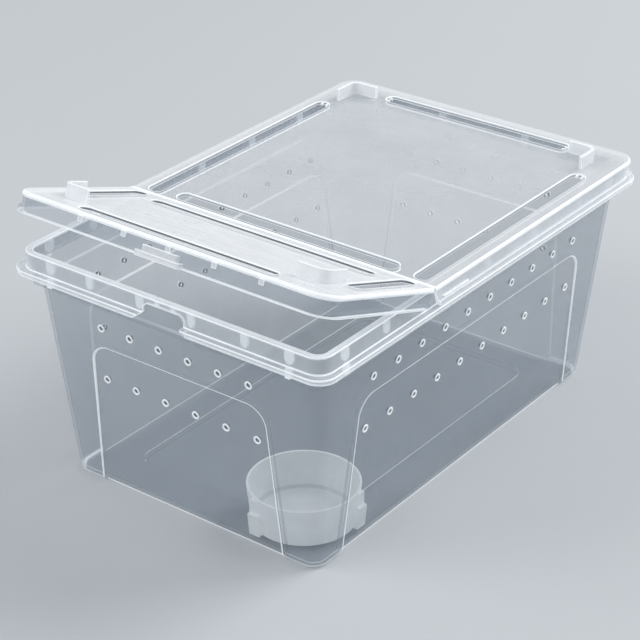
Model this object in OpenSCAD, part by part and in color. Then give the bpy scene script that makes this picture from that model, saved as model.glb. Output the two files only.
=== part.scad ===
// Plastic pet keeper: a tapered tub, a lid with a living-hinge flap, and a water dish.
// X runs across, Y runs along with the flap at the -Y end, and Z is up.
// The origin is on the table, below the middle of the tub.

/* [Overall] */
// Length over the flange of the tub
keeper_l = 320; // [290:1:400]
// Width over the flange of the tub
keeper_w = 220; // [200:1:280]
// Height of the tub, from the table to the top of its rim
tub_h = 144.3; // [120:0.1:200]

/* [Tub] */
// Lean of the tub walls, in degrees
draft = 5; // [2:0.5:7]
// Thickness of the tub walls
wall_t = 1.6; // [1.2:0.1:2.4]
// Thickness of the floor
floor_t = 2.2; // [1.6:0.1:4]
// Corner radius of the tub at the table
base_r = 9.5; // [6:0.5:14]
// Corner radius of the tub below the ledge
shoulder_r = 11.5; // [8:0.5:16]
// Width of the rounded edge under the tub
foot_round = 1.5; // [0.5:0.1:2.5]
// Height of the upright collar, from the ledge to the top of the rim
collar_h = 18.8; // [16:0.1:26]
// Width of the ledge inside, where the collar steps out
ledge_w = 2.6; // [2:0.1:4]
// Thickness of the ledge
ledge_t = 1.5; // [1:0.1:2.5]
// Height of the raised middle of the floor
plateau_h = 0.8; // [0.4:0.1:1.5]
// Margin from the tub corner to the raised middle of the floor
plateau_margin = 26; // [18:0.5:34]
// Corner radius of the raised middle of the floor
plateau_r = 10; // [4:0.5:16]

/* [Wall panels] */
// Width of a corner post at the table
post_w = 23.6; // [18:0.1:32]
// Lean of the panel sides, in degrees
panel_lean = 3.1; // [1:0.1:5]
// Drop from the ledge to the top of an end panel
end_panel_drop = 29.5; // [26:0.5:40]
// Drop from the ledge to the top of a side panel
side_panel_drop = 27.5; // [26:0.5:40]
// Corner radius at the top of a panel
panel_r = 12; // [6:0.5:18]
// Depth of a panel at the table
panel_depth = 2.5; // [1.5:0.1:3.5]
// Depth of a panel at its top
panel_depth_top = 1; // [0.5:0.1:1.5]

/* [Vent holes] */
// Bore of a vent hole
vent_d = 2.9; // [2:0.1:3.4]
// Outer diameter of the ring round a vent hole
ring_d = 4.9; // [4:0.1:6]
// Height of the ring round a vent hole
ring_h = 0.5; // [0.3:0.1:1]
// Drop from the ledge to the upper row
upper_row_drop = 16.4; // [12:0.1:20]
// Pitch of the upper row on an end wall
upper_end_pitch = 20.8; // [16:0.1:26]
// Pitch of the upper row on a side wall
upper_side_pitch = 22.5; // [16:0.1:28]
// Margin from the tub corner to the upper row
upper_margin = 46; // [36:0.5:60]
// Drop from the top of a panel to the lower row
lower_row_drop = 22; // [16:0.5:30]
// Pitch of the lower row on an end wall
lower_end_pitch = 21.5; // [16:0.1:26]
// Pitch of the lower row on a side wall
lower_side_pitch = 22.85; // [16:0.05:28]
// Margin from the side of a panel to the lower row
lower_margin = 7.5; // [5:0.5:14]

/* [Rim] */
// Width of the flat top of the rim
land_w = 4.4; // [4:0.1:7]
// Thickness of the rim walls
rim_t = 1.5; // [1.1:0.1:1.7]
// Outer corner radius of the rim below the lid
rim_r = 10; // [8:0.5:16]
// Width of the flange outside the rim
flange_w = 4.4; // [3.4:0.1:7]
// Outer corner radius of the flange
flange_r = 11; // [9:0.5:18]
// Drop from the top of the rim to the flange
flange_drop = 10; // [9:0.1:12]
// Height of the turned-down edge of the flange
flange_lip_h = 3.3; // [2:0.1:5]
// Width of a pillar in the rim
rib_w = 4.8; // [3:0.1:7]
// Width of a pillar beside a corner
wide_rib_w = 5.8; // [4:0.1:8]
// Height of the foot of a pillar above the flange
rib_foot_h = 0.4; // [0.2:0.1:1]
// Distance from the flange corner to a corner pillar
wide_rib_inset = 26.8; // [22:0.1:34]
// Width of a stacking nub under a corner pillar
nub_w = 3; // [2:0.1:4]
// Reach of a stacking nub below the flange
nub_h = 4; // [2:0.1:5]
// Pitch of the pillars on the front
front_rib_pitch = 36; // [28:0.5:44]
// Pitch of the pillars on the sides
side_rib_pitch = 48.5; // [36:0.5:60]
// Pitch of the pillars on the back
back_rib_pitch = 62; // [40:0.5:80]
// Width of the finger notch in the rim
notch_w = 28; // [22:0.5:34]
// Drop from the top of the rim to the top of the notch
notch_drop = 4.3; // [3:0.1:6]
// Widening of the notch on each side through the flange
notch_flare = 4.5; // [2:0.1:7]
// Corner radius at the top of the notch
notch_r = 4; // [1:0.5:6]
// Spacing of the two short ribs in the notch
notch_rib_pitch = 11; // [8:0.5:16]
// Width of a short rib in the notch
notch_rib_w = 2.4; // [1.2:0.1:4]

/* [Lid] */
// Thickness of the lid
lid_t = 2.4; // [1.8:0.1:4]
// Clearance between the top of the rim and the lid that lies on it
lid_seat = 0.1; // [0.05:0.05:0.3]
// Clearance between the flange and the foot of the skirt
skirt_clear = 0.3; // [0.2:0.05:0.6]
// Thickness of the lid skirt
skirt_t = 1.7; // [1.2:0.1:2.4]
// Clearance between the rim and the skirt
lid_gap = 0.4; // [0.3:0.05:0.8]
// Overhang of the lid past its skirt
lid_overhang = 0.6; // [0.3:0.1:1.2]
// Corner radius of the lid
lid_r = 12.5; // [10:0.5:20]
// Reach of the lip at the foot of the skirt
lip_out = 1.8; // [1:0.1:2.4]
// Height of the lip at the foot of the skirt
lip_h = 3.4; // [2:0.1:4.5]
// Slant of the skirt where the flap begins, in degrees
skirt_slant = 17; // [10:1:30]
// Length of the snap bead on each side of the lid
bead_l = 24; // [14:1:36]
// Section of the snap bead
bead_d = 1; // [0.6:0.1:1.6]

/* [Lid slots] */
// Width of a slot
slot_w = 9.4; // [7:0.1:10.6]
// Distance from the side edge of the lid to a side slot
side_slot_in = 13.6; // [11:0.1:16]
// Distance from the back edge to the back slot
back_slot_in = 14.7; // [12:0.1:17]
// Distance from the front edge to the front slot
front_slot_in = 10.9; // [9:0.1:14]
// Distance from the hinge back to the first slot of the lid
lid_hinge_slot_in = 8.1; // [7:0.1:12]
// Distance from the hinge forward to the first slot of the flap
flap_hinge_slot_in = 15.2; // [12:0.1:20]
// Margin from the side edge to the ends of the front and back slots
outer_slot_margin = 45.6; // [42:0.1:60]
// Margin from the side edge to the ends of the two slots along the hinge
hinge_slot_margin = 35; // [32:0.1:50]
// Distance from the hinge to the near end of a side slot
side_slot_near = 7.8; // [7:0.1:12]
// Margin from the back edge to the far end of a side slot
back_side_margin = 49.4; // [46:0.1:60]
// Margin from the front edge to the far end of a side slot
front_side_margin = 43.2; // [42:0.1:50]

/* [Stacking lugs] */
// Distance from the side edge of the lid to a lug
lug_in_x = 17.3; // [15:0.1:22]
// Distance from the front or back edge of the lid to a lug
lug_in_y = 19.3; // [17:0.1:21]
// Length of each leg of a lug
lug_leg = 19; // [12:0.5:20]
// Height of a lug
lug_h = 8; // [4:0.5:12]
// Thickness of a lug
lug_t = 2; // [1.4:0.1:3]
// Corner radius of a lug
lug_r = 4; // [2.5:0.5:8]

/* [Flap] */
// Length of the flap, from the hinge to its front edge
flap_l = 99.5; // [90:0.5:130]
// Angle of the flap above closed, in degrees
flap_open = 19.7; // [0:0.1:90]
// Width of the bare strip of the hinge
web_w = 1; // [0.8:0.1:2]
// Thickness of the hinge
web_t = 0.45; // [0.3:0.05:0.8]
// Inset of the hinge from the sides of the lid
web_inset = 0.6; // [0.2:0.1:3]
// Width of the finger tab
tab_w = 31; // [20:0.5:40]
// Reach of the finger tab
tab_out = 4; // [2.5:0.1:7]
// Corner radius of the finger tab
tab_r = 1.6; // [0.8:0.1:1.8]
// Shortening of the upper step of the finger tab at each end
tab_step_in = 3; // [1:0.5:5]
// Height of the lower step of the finger tab
tab_low_h = 3.2; // [2:0.1:4]
// Height of the upper step of the finger tab
tab_high_h = 3.4; // [2:0.1:4.5]
// Pitch of the small gussets on the front skirt
gusset_pitch = 31; // [24:0.5:40]
// Width of a gusset
gusset_w = 4; // [2:0.5:6]
// Height of a gusset
gusset_h = 3.5; // [2:0.1:4.5]

/* [Dish] */
// Outer diameter of the dish at its rim
dish_d = 65; // [45:1:80]
// Height of the dish
dish_h = 24; // [14:1:40]
// Lean of the dish wall, in degrees
dish_draft = 5.9; // [3:0.1:10]
// Wall thickness of the dish
dish_t = 1.5; // [1:0.1:2.5]
// Gap between the foot of the dish and the tub walls
dish_gap = 2.6; // [2:0.1:6]
// Width of an ear of the dish
ear_w = 7; // [3:0.5:9]
// Drop from the rim of the dish to the top of an ear
ear_drop = 2; // [1:0.5:4]
// Height of the upper, shorter step of an ear
ear_step_h = 8; // [4:0.5:9]
// Distance that the upper step of an ear stays inside the rim of the dish
ear_step_in = 1; // [0.5:0.1:2]
// Side step of the ears from the middle of the dish
ear_shift = 10.5; // [0:0.5:14]
// Clearance between an ear and the tub wall
ear_gap = 0.6; // [0.4:0.1:1.5]

/* [Hidden] */
$fn = 48;
hull_fn = 32;
round_fn = 96;
// Thin slices that bound a hull, the reach of a cut past a face, and a depth past any wall.
slice = 0.01;
over = 1;
beyond = 20;

// Half sizes are [across, along].
flange_half = [keeper_w, keeper_l] / 2;
rim_half = flange_half - [flange_w, flange_w];
collar_in_half = rim_half - [land_w, land_w];
collar_half = collar_in_half + [rim_t, rim_t];
collar_r = rim_r - land_w + rim_t;
ledge_z = tub_h - collar_h;
shoulder_half = collar_in_half + [wall_t - ledge_w, wall_t - ledge_w];
base_half = shoulder_half - ledge_z * tan(draft) * [1, 1];

end_panel_z = ledge_z - end_panel_drop;
side_panel_z = ledge_z - side_panel_drop;
upper_row_z = ledge_z - upper_row_drop;

land_z = tub_h - rim_t;
flange_z = tub_h - flange_drop;
flange_lip_z = flange_z - flange_lip_h;
notch_z = tub_h - notch_drop;

skirt_in_half = rim_half + [lid_gap, lid_gap];
skirt_half = skirt_in_half + [skirt_t, skirt_t];
lid_half = skirt_half + [lid_overhang, lid_overhang];
lip_half = skirt_half + [lip_out, lip_out];
skirt_in_r = rim_r + lid_gap;
skirt_z = flange_z + skirt_clear;
lid_under_z = tub_h + lid_seat;
lid_z = lid_under_z + lid_t;
hinge_y = flap_l - lid_half[1];
bead_z = skirt_z + lip_h;

dish_z = floor_t + plateau_h;
dish_foot_r = dish_d / 2 - dish_h * tan(dish_draft);
ear_reach = dish_foot_r + dish_gap - ear_gap;

// Outer face of a plain wall at a height, for a half size at the table.
function wall_at(half, z) = half + z * tan(draft);

// Lean of a panel face, so that its depth shrinks towards its top.
function face_lean(top_z) = atan(tan(draft) + (panel_depth - panel_depth_top) / top_z);

// Inner face of a panelled wall at a height.
function panel_inside(half, top_z, z) = half - panel_depth - wall_t / cos(draft) + z * tan(face_lean(top_z));

dish_x = panel_inside(base_half[0], side_panel_z, dish_z) - dish_gap - dish_foot_r;
dish_y = dish_gap + dish_foot_r - panel_inside(base_half[1], end_panel_z, dish_z);

function row_count(span, pitch) = floor(span / pitch) + 1;

function arc_points(centre, r, from, to, steps = 8) =
    [for (i = [0 : steps]) let (a = from + (to - from) * i / steps) centre + r * [cos(a), sin(a)]];

module rounded(half, r) {
    square([2 * half[0] - 2 * r, 2 * half[1]], center = true);
    square([2 * half[0], 2 * half[1] - 2 * r], center = true);
    for (sx = [-1, 1])
        for (sy = [-1, 1])
            translate([sx * (half[0] - r), sy * (half[1] - r)]) circle(r);
}

module ring(half, r, t) {
    difference() {
        rounded(half, r);
        rounded(half - [t, t], r - t);
    }
}

module layer(z, h) {
    translate([0, 0, z]) linear_extrude(h) children();
}

// Lays an outline drawn as [y, z] in a plane across X.
module across_x(from, to) {
    translate([from, 0, 0]) rotate([90, 0, 90]) linear_extrude(to - from) children();
}

// Places children on the four walls. A wall faces +X and runs along Y.
module side_walls() {
    for (turn = [0, 180]) rotate([0, 0, turn]) children();
}

module end_walls() {
    for (turn = [90, 270]) rotate([0, 0, turn]) children();
}

// Tub -------------------------------------------------------------------------

module tapered_slice(z, shrink, r) {
    grow = z * tan(draft) - shrink;
    layer(z, slice) rounded(base_half + [grow, grow], r, $fn = hull_fn);
}

module tapered_body(shrink, from_z, to_z) {
    foot_shrink = shrink + foot_round * (1 + tan(draft));
    hull() {
        tapered_slice(from_z, foot_shrink, base_r - shrink);
        tapered_slice(from_z + foot_round, shrink, base_r - shrink);
        tapered_slice(to_z - slice, shrink, shoulder_r - shrink);
    }
}

// The space in front of a panel face. The outline grows by the wall for the inside.
module panel_space(half, run, top_z, grow, inset) {
    foot = run - post_w + grow;
    top = foot - top_z * tan(panel_lean);
    r = panel_r + grow;
    outline = concat(
        [[foot + beyond * tan(panel_lean), -beyond]],
        arc_points([top - r, top_z + grow - r], r, 0, 90),
        arc_points([r - top, top_z + grow - r], r, 90, 180),
        [[-foot - beyond * tan(panel_lean), -beyond]]
    );
    intersection() {
        across_x(0, half + 2 * beyond) polygon(outline);
        translate([half - panel_depth - inset, 0, 0])
            rotate([0, face_lean(top_z), 0])
                translate([0, -run, -beyond])
                    cube([4 * beyond, 2 * run, top_z + 3 * beyond]);
    }
}

module panel_spaces(grow, inset) {
    side_walls() panel_space(base_half[0], base_half[1], side_panel_z, grow, inset);
    end_walls() panel_space(base_half[1], base_half[0], end_panel_z, grow, inset);
}

// A row of places on a wall face, each with +Z pointing out of the face.
module row_places(face_x, z, lean, span, pitch) {
    last = row_count(span, pitch) - 1;
    for (i = [0 : last])
        translate([face_x, (i - last / 2) * pitch, z]) rotate([0, 90 + lean, 0]) children();
}

module upper_rows(half, run, pitch) {
    span = 2 * (wall_at(run, upper_row_z) - upper_margin);
    row_places(wall_at(half, upper_row_z), upper_row_z, draft, span, pitch) children();
}

module lower_rows(half, run, top_z, pitch) {
    row_z = top_z - lower_row_drop;
    lean = face_lean(top_z);
    span = 2 * (run - post_w - row_z * tan(panel_lean) - lower_margin);
    row_places(half - panel_depth + row_z * tan(lean), row_z, lean, span, pitch) children();
}

module vent_places() {
    side_walls() {
        upper_rows(base_half[0], base_half[1], upper_side_pitch) children();
        lower_rows(base_half[0], base_half[1], side_panel_z, lower_side_pitch) children();
    }
    end_walls() {
        upper_rows(base_half[1], base_half[0], upper_end_pitch) children();
        lower_rows(base_half[1], base_half[0], end_panel_z, lower_end_pitch) children();
    }
}

module tub() {
    plateau_half = base_half - [plateau_margin, plateau_margin];
    color("lightsteelblue") difference() {
        union() {
            difference() {
                tapered_body(0, 0, ledge_z);
                panel_spaces(0, 0);
            }
            layer(ledge_z - ledge_t, ledge_t + slice) rounded(collar_half, collar_r);
            layer(ledge_z, land_z - ledge_z) rounded(collar_half, collar_r);
            vent_places() translate([0, 0, -wall_t / 2]) cylinder(h = wall_t / 2 + ring_h, d = ring_d);
        }
        difference() {
            tapered_body(wall_t / cos(draft), floor_t, ledge_z + over);
            panel_spaces(wall_t, wall_t / cos(draft));
            layer(floor_t - over, over + plateau_h) rounded(plateau_half, plateau_r);
        }
        layer(ledge_z, collar_h) rounded(collar_in_half, rim_r - land_w);
        layer(-over, over + plateau_h) rounded(plateau_half - [wall_t, wall_t], plateau_r - wall_t);
        vent_places() translate([0, 0, -2 * wall_t]) cylinder(h = 4 * wall_t, d = vent_d);
    }
}

// Rim -------------------------------------------------------------------------

// A pillar with a round foot, between the collar and the rim wall.
module rim_rib(half, y, w) {
    foot_z = flange_z + rib_foot_h + w / 2;
    across_x(half - land_w + rim_t, half - rim_t / 2) {
        translate([y, foot_z]) circle(d = w);
        translate([y - w / 2, foot_z]) square([w, land_z - foot_z]);
    }
}

module corner_rib(half, y) {
    rim_rib(half, y, wide_rib_w);
    translate([half - land_w + rim_t, y - nub_w / 2, flange_lip_z - nub_h])
        cube([land_w - rim_t, nub_w, nub_h + flange_lip_h]);
}

module rim_ribs() {
    side_y = flange_half[1] - wide_rib_inset;
    end_x = flange_half[0] - wide_rib_inset;
    side_steps = floor((side_y - wide_rib_w) / side_rib_pitch);
    side_walls() {
        for (i = [-side_steps : side_steps]) rim_rib(rim_half[0], i * side_rib_pitch, rib_w);
        for (s = [-1, 1]) corner_rib(rim_half[0], s * side_y);
    }
    end_walls() for (s = [-1, 1]) corner_rib(rim_half[1], s * end_x);
    rotate([0, 0, 90]) for (s = [-0.5, 0.5]) rim_rib(rim_half[1], s * back_rib_pitch, rib_w);
    rotate([0, 0, -90]) for (s = [-1.5, -0.5, 0.5, 1.5]) rim_rib(rim_half[1], s * front_rib_pitch, rib_w);
}

// Space of the finger notch, in front of the collar wall.
module notch_space() {
    half = notch_w / 2;
    below = flange_lip_z - nub_h - over;
    outline = concat(
        [[half + notch_flare, below], [half + notch_flare, flange_lip_z], [half, flange_z]],
        arc_points([half - notch_r, notch_z - notch_r], notch_r, 0, 90),
        arc_points([notch_r - half, notch_z - notch_r], notch_r, 90, 180),
        [[-half, flange_z], [-half - notch_flare, flange_lip_z], [-half - notch_flare, below]]
    );
    translate([0, slice - collar_half[1], 0])
        rotate([90, 0, 0]) linear_extrude(land_w + flange_w + over) polygon(outline);
}

module rim() {
    color("aliceblue") {
        difference() {
            union() {
                layer(land_z, rim_t) ring(rim_half, rim_r, land_w);
                layer(flange_z - rim_t, land_z + rim_t - flange_z) ring(rim_half, rim_r, rim_t);
                layer(flange_z - rim_t, rim_t) ring(flange_half, flange_r, flange_w + rim_t);
                layer(flange_lip_z, flange_lip_h) ring(flange_half, flange_r, rim_t);
                rim_ribs();
            }
            notch_space();
        }
        for (s = [-0.5, 0.5])
            translate([s * notch_rib_pitch - notch_rib_w / 2, -rim_half[1] + rim_t / 2, notch_z - over])
                cube([notch_rib_w, land_w - 1.5 * rim_t, land_z - notch_z + over]);
    }
}

// Lid and flap ----------------------------------------------------------------

// A straight slot with round ends.
module slot(from, to) {
    along = to - from;
    size = norm(along);
    translate(from) rotate(atan2(along[1], along[0])) {
        circle(d = slot_w);
        translate([0, -slot_w / 2]) square([size, slot_w]);
        translate([size, 0]) circle(d = slot_w);
    }
}

// An L-shaped lug at the origin, with its outer corner towards +X and +Y.
module lug() {
    inner = lug_leg + over - lug_t;
    linear_extrude(lug_h) difference() {
        union() {
            translate([-lug_r, -lug_r]) circle(lug_r);
            translate([-lug_leg, -lug_t]) square([lug_leg - lug_r, lug_t]);
            translate([-lug_t, -lug_leg]) square([lug_t, lug_leg - lug_r]);
        }
        translate([-lug_r, -lug_r]) circle(lug_r - lug_t);
        translate([-lug_leg - over, -lug_leg - over]) square([inner + lug_t - lug_r, inner]);
        translate([-lug_leg - over, -lug_leg - over]) square([inner, inner + lug_t - lug_r]);
    }
}

module lug_pair(end) {
    for (s = [-1, 1])
        translate([s * (lid_half[0] - lug_in_x), end * (lid_half[1] - lug_in_y), lid_z])
            mirror([s < 0 ? 1 : 0, 0, 0]) mirror([0, end < 0 ? 1 : 0, 0]) lug();
}

// The whole closed cover, before it is parted at the hinge.
module cover_shape() {
    layer(lid_under_z, lid_t) rounded(lid_half, lid_r);
    layer(skirt_z, lid_under_z - skirt_z) ring(skirt_half, skirt_in_r + skirt_t, skirt_t);
    layer(skirt_z, lip_h) ring(lip_half, skirt_in_r + skirt_t + lip_out, lip_out + skirt_t / 2);
}

// Keeps the part of the cover on one side of the hinge, with a slanted skirt end.
module cover_side(side) {
    edge = hinge_y + side * web_w / 2;
    far = side * 2 * lid_half[1];
    foot_z = skirt_z - over;
    slant = (lid_under_z - foot_z) * tan(skirt_slant);
    top_z = lid_z + over;
    foot = edge + side * slant;
    outline = [[edge, top_z], [edge, lid_under_z], [foot, foot_z], [far, foot_z], [far, top_z]];
    across_x(-2 * lid_half[0], 2 * lid_half[0]) polygon(outline);
}

module lid_slots() {
    back_y = lid_half[1] - back_slot_in;
    back_x = lid_half[0] - outer_slot_margin;
    near_y = hinge_y + lid_hinge_slot_in;
    near_x = lid_half[0] - hinge_slot_margin;
    side_x = lid_half[0] - side_slot_in;
    slot([-back_x, back_y], [back_x, back_y]);
    slot([-near_x, near_y], [near_x, near_y]);
    for (s = [-1, 1])
        slot([s * side_x, hinge_y + side_slot_near], [s * side_x, lid_half[1] - back_side_margin]);
}

module flap_slots() {
    front_y = front_slot_in - lid_half[1];
    front_x = lid_half[0] - outer_slot_margin;
    near_y = hinge_y - flap_hinge_slot_in;
    near_x = lid_half[0] - hinge_slot_margin;
    side_x = lid_half[0] - side_slot_in;
    slot([-front_x, front_y], [front_x, front_y]);
    slot([-near_x, near_y], [near_x, near_y]);
    for (s = [-1, 1])
        slot([s * side_x, hinge_y - side_slot_near], [s * side_x, front_side_margin - lid_half[1]]);
}

module lid() {
    color("white") {
        difference() {
            intersection() {
                cover_shape();
                cover_side(1);
            }
            layer(lid_under_z - over, lid_t + 2 * over) lid_slots();
        }
        lug_pair(1);
        for (s = [-1, 1])
            translate([s * skirt_half[0], hinge_y + lid_hinge_slot_in + bead_l / 2, bead_z + bead_d / 2])
                cube([bead_d * 2, bead_l, bead_d], center = true);
    }
}

// Turns closed geometry about the hinge line to the angle of the flap.
module opened() {
    translate([0, hinge_y, lid_z]) rotate([-flap_open, 0, 0]) translate([0, -hinge_y, -lid_z]) children();
}

// A ledge with rounded corners on the front skirt.
module tab_step(half, out, h) {
    root_y = skirt_t / 2 - skirt_half[1];
    front_y = -skirt_half[1] - out;
    outline = concat(
        [[-half, root_y]],
        arc_points([tab_r - half, front_y + tab_r], tab_r, 180, 270),
        arc_points([half - tab_r, front_y + tab_r], tab_r, 270, 360),
        [[half, root_y]]
    );
    layer(skirt_z, h) polygon(outline);
}

module finger_tab() {
    tab_step(tab_w / 2, tab_out, tab_low_h);
    tab_step(tab_w / 2 - tab_step_in, tab_out / 2, tab_low_h + tab_high_h);
}

module gussets() {
    steps = floor((lid_half[0] - lid_r - gusset_w - gusset_pitch / 2) / gusset_pitch);
    for (i = [-steps : steps])
        translate([i * gusset_pitch - gusset_w / 2, -lid_half[1], lid_under_z - gusset_h])
            cube([gusset_w, lid_overhang + skirt_t / 2, gusset_h + lid_t / 2]);
}

module flap() {
    color("white") opened() {
        difference() {
            intersection() {
                cover_shape();
                cover_side(-1);
            }
            layer(lid_under_z - over, lid_t + 2 * over) flap_slots();
        }
        lug_pair(-1);
        finger_tab();
        gussets();
    }
}

// The thin bent strip that joins the lid and the flap.
module hinge() {
    turned = [-cos(flap_open), sin(flap_open)] * web_w / 2;
    below = [-sin(flap_open), -cos(flap_open)] * web_t;
    crease = [-web_t * tan(flap_open / 2), -web_t];
    color("gainsboro")
        across_x(web_inset - lid_half[0], lid_half[0] - web_inset)
            translate([hinge_y, lid_z])
                polygon([[web_w / 2, 0], [0, 0], turned, turned + below, crease, [web_w / 2, -web_t]]);
}

// Dish ------------------------------------------------------------------------

// A stepped ear towards +X, whose long lower step leans with the tub wall.
module ear(lean) {
    top = dish_h - ear_drop;
    step = top - ear_step_h;
    root = ear_reach / 2;
    short = dish_d / 2 - ear_step_in;
    outline = [
        [root, 0], [ear_reach, 0], [ear_reach + step * tan(lean), step],
        [short, step], [short, top], [root, top]
    ];
    translate([0, ear_w / 2, 0]) rotate([90, 0, 0]) linear_extrude(ear_w) polygon(outline);
}

module dish() {
    inner_foot_r = dish_foot_r - dish_t;
    inner_rim_r = inner_foot_r + dish_h * tan(dish_draft);
    color("ghostwhite") translate([dish_x, dish_y, dish_z]) {
        difference() {
            union() {
                cylinder(h = dish_h, r1 = dish_foot_r, r2 = dish_d / 2, $fn = round_fn);
                translate([0, ear_shift, 0]) ear(face_lean(side_panel_z));
                translate([-ear_shift, 0, 0]) rotate([0, 0, -90]) ear(face_lean(end_panel_z));
            }
            translate([0, 0, dish_t])
                cylinder(h = dish_h, r1 = inner_foot_r, r2 = inner_rim_r, $fn = round_fn);
        }
    }
}

tub();
rim();
lid();
hinge();
flap();
dish();
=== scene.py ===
import math
import bpy
import bmesh
from mathutils import Matrix, Vector


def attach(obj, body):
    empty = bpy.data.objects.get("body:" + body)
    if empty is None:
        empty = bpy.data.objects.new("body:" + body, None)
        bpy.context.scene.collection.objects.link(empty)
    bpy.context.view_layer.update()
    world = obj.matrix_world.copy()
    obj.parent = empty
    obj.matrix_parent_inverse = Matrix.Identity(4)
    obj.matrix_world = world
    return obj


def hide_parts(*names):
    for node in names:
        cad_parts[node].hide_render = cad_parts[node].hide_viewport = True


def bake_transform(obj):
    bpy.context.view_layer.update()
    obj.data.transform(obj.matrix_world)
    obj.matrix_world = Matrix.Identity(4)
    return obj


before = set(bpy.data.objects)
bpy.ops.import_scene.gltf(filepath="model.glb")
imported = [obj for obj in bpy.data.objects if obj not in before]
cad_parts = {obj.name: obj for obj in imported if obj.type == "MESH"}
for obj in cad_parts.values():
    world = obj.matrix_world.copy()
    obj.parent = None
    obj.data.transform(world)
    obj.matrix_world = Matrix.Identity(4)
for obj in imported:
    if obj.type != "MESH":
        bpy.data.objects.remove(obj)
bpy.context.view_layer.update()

mm = 0.001  # the scene is in metres, and the sizes below are in millimetres
scene = bpy.context.scene


def linear(hexCode):
    # an sRGB hex colour as the linear values that shaders take
    parts = [int(hexCode[i:i + 2], 16) / 255 for i in (1, 3, 5)]
    return [c / 12.92 if c <= 0.04045 else ((c + 0.055) / 1.055) ** 2.4 for c in parts] + [1]


# camera: a long lens from the front right, above the flap
cameraSet = {
    "place": (0.6410, -0.8619, 0.6451),
    "right": (0.7971, 0.6038, -0.0025),
    "up": (-0.2844, 0.3790, 0.8806),
    "back": (0.5327, -0.7012, 0.4738),
    "lens": 114.8,
    "sensor": 36,
    "clip": (0.05, 30),
}


def makeCamera():
    data = bpy.data.cameras.new("camera")
    data.lens = cameraSet["lens"]
    data.sensor_width = cameraSet["sensor"]
    data.clip_start, data.clip_end = cameraSet["clip"]
    camera = bpy.data.objects.new("camera", data)
    scene.collection.objects.link(camera)
    axes = Matrix((cameraSet["right"], cameraSet["up"], cameraSet["back"])).transposed()
    turn = axes.to_quaternion().to_matrix().to_4x4()
    camera.matrix_world = Matrix.Translation(cameraSet["place"]) @ turn
    scene.camera = camera


makeCamera()
print("camera placed")


# modelling helpers
meshSet = {
    "cornerSteps": 8,  # faces round each corner of a rounded rectangle
    "near": 1e-6,  # in metres; points this close lie at one place
    "lift": 3.7,
    "merge": 0.004,  # points closer than this become one
    "flat": 0.5,  # faces that turn less than this many degrees become one
    "sharp": 28,  # edges that turn more get a moulded radius
    "radiusSteps": 2,
    "smooth": 38,
    "flatWeight": 100,
}


def deselectAll():
    if bpy.context.object and bpy.context.object.mode != "OBJECT":
        bpy.ops.object.mode_set(mode="OBJECT")
    bpy.ops.object.select_all(action="DESELECT")


def onlySelect(*objects):
    deselectAll()
    for obj in objects:
        obj.select_set(True)
    bpy.context.view_layer.objects.active = objects[0]


def edit(obj, mode="FACE"):
    onlySelect(obj)
    bpy.ops.object.mode_set(mode="EDIT")
    bpy.ops.mesh.select_mode(type=mode)


def leave():
    bpy.ops.object.mode_set(mode="OBJECT")


def select(kind, test):
    # picks the vertices, edges or faces of the mesh in edit mode that pass the test
    mesh = bmesh.from_edit_mesh(bpy.context.object.data)
    for part in list(mesh.verts) + list(mesh.edges) + list(mesh.faces):
        part.select = False
    for part in getattr(mesh, kind):
        if test(part):
            part.select_set(True)
    mesh.select_flush_mode()
    bmesh.update_edit_mesh(bpy.context.object.data)


def selectAll():
    bpy.ops.mesh.select_all(action="SELECT")


def extrude(*move):
    bpy.ops.mesh.extrude_region_move(TRANSFORM_OT_translate={"value": [m * mm for m in move]})


def bevel(radius, steps, **settings):
    bpy.ops.mesh.bevel(offset=radius * mm, segments=steps, **settings)


def join(*objects):
    onlySelect(*objects)
    if len(objects) > 1:
        bpy.ops.object.join()
    return bpy.context.object


def duplicate(obj):
    onlySelect(obj)
    bpy.ops.object.duplicate(linked=False)
    return bpy.context.object


def place(obj, move=(0, 0, 0), turn=(0, 0, 0)):
    onlySelect(obj)
    obj.rotation_euler = [math.radians(a) for a in turn]
    obj.location = [m * mm for m in move]
    bpy.ops.object.transform_apply()
    return obj


def faceOut(obj):
    edit(obj)
    selectAll()
    bpy.ops.mesh.normals_make_consistent(inside=False)
    leave()


def applyModifier(obj, kind, **settings):
    onlySelect(obj)
    tool = obj.modifiers.new(kind.lower(), kind)
    for key, value in settings.items():
        setattr(tool, key, value)
    bpy.ops.object.modifier_apply(modifier=tool.name)


def grow(half, amount):
    return tuple(h + amount for h in half)


def middle(f):
    # the middle of a face, in millimetres
    return f.calc_center_median() / mm


def sharp(e, angle):
    # an edge between two faces that turns more than the angle, in radians
    return len(e.link_faces) == 2 and e.calc_face_angle(0) > angle


def roundedLoop(half, radius, z):
    # one rounded rectangle of edges, at a height
    deselectAll()
    bpy.ops.mesh.primitive_plane_add(size=2, location=(0, 0, z * mm))
    obj = bpy.context.object
    obj.scale = (half[0] * mm, half[1] * mm, 1)
    bpy.ops.object.transform_apply()
    edit(obj, "VERT")
    selectAll()
    bevel(radius, meshSet["cornerSteps"], affect="VERTICES")
    bpy.ops.mesh.delete(type="ONLY_FACE")
    leave()
    return obj


def onLoop(point, half, radius, z):
    if abs(point.z - z * mm) > 2 * meshSet["near"]:
        return False
    dx = abs(point.x) - (half[0] - radius) * mm
    dy = abs(point.y) - (half[1] - radius) * mm
    reach = math.hypot(max(dx, 0), max(dy, 0)) if max(dx, dy) > 0 else max(dx, dy)
    return abs(reach - radius * mm) < 4 * meshSet["near"]


def loopTest(*rows):
    # true for the edges of any of these loops
    return lambda e: any(all(onLoop(v.co, *row) for v in e.verts) for row in rows)


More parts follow.
